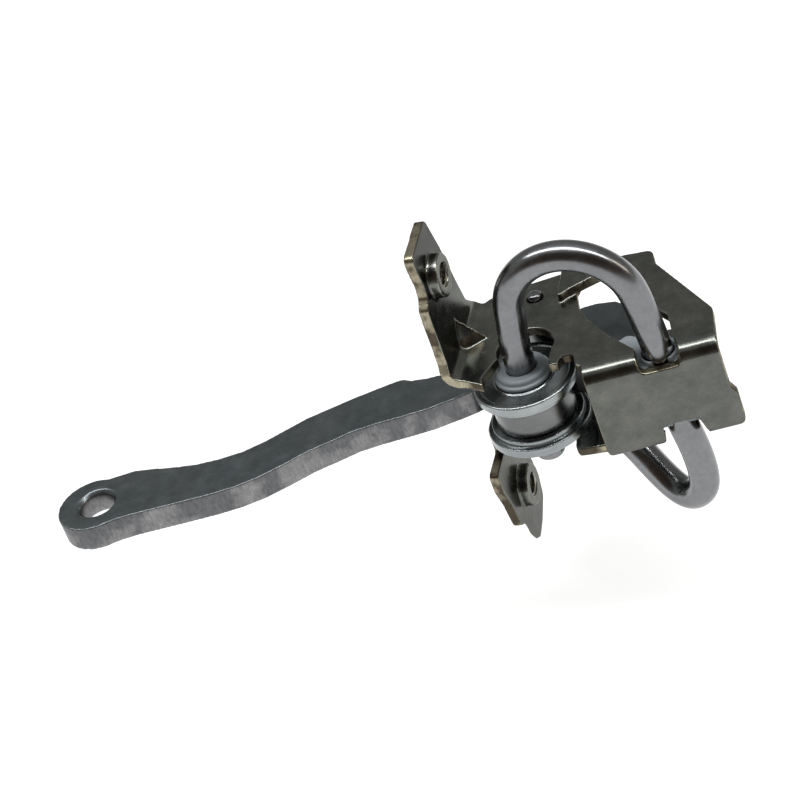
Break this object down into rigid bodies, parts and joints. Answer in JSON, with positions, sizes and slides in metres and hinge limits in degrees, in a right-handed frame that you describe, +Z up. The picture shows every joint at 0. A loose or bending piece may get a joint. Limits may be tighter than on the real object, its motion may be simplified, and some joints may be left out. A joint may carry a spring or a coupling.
{
  "type": "vehicle door check strap",
  "caption": "Flat shaped check strap sliding through a stamped two-ear bracket, gripped by a loop spring with a flanged guide roller.",
  "frame": {"origin": "on the bolting faces of the bracket's two ears, midway between their two holes, level with the strap's mid-plane", "axes": "+X into the door, normal to the ear faces; +Z up along the roller axes; +Y towards the rear roller side"},
  "size_m": [0.2033, 0.0856, 0.1215],
  "materials": {
    "zinc_plate": "zinc-plated sheet, satin",
    "arm_steel": "zinc-plated plate, dull",
    "spring_wire": "drawn wire, bright",
    "roller_steel": "turned, satin",
    "bush_plastic": "moulded, semi-matt"
  },
  "bodies": {
    "bracket": {"bracket": "zinc_plate", "spring_lower_loop": "spring_wire", "spring_guide_block": "bush_plastic", "rear_upper_washer": "bush_plastic", "rear_lower_washer": "bush_plastic"},
    "strap": {"check_arm": "arm_steel"},
    "spring_carriage": {"spring_upper_loop": "spring_wire", "front_upper_bush": "bush_plastic", "front_lower_bush": "bush_plastic"},
    "front_roller": {"front_roller_drum": "roller_steel", "front_roller_upper_flange": "roller_steel", "front_roller_lower_flange": "roller_steel"},
    "rear_roller": {"rear_roller": "roller_steel"}
  },
  "joints": [
    {"name": "strap_slide", "type": "slide", "parent": "bracket", "child": "strap", "axis": [0.9336, 0.3584, 0], "range_m": [0, 0.02]},
    {"name": "spring_flex", "type": "hinge", "parent": "bracket", "child": "spring_carriage", "pos_m": [0.06264, -0.01141, 0], "axis": [0, 0, 1], "range_deg": [0, 11.3], "stiffness_Nm_per_rad": 5},
    {"name": "front_roller_spin", "type": "hinge", "parent": "spring_carriage", "child": "front_roller", "pos_m": [0.0215, -0.01075, 0], "axis": [0, 0, 1], "continuous": true},
    {"name": "rear_roller_spin", "type": "hinge", "parent": "bracket", "child": "rear_roller", "pos_m": [0.02177, 0.01732, 0], "axis": [0, 0, 1], "continuous": true}
  ],
  "couplings": [
    {"joint": "spring_flex", "follows": "strap_slide", "rad_per_m": 9.72}
  ]
}
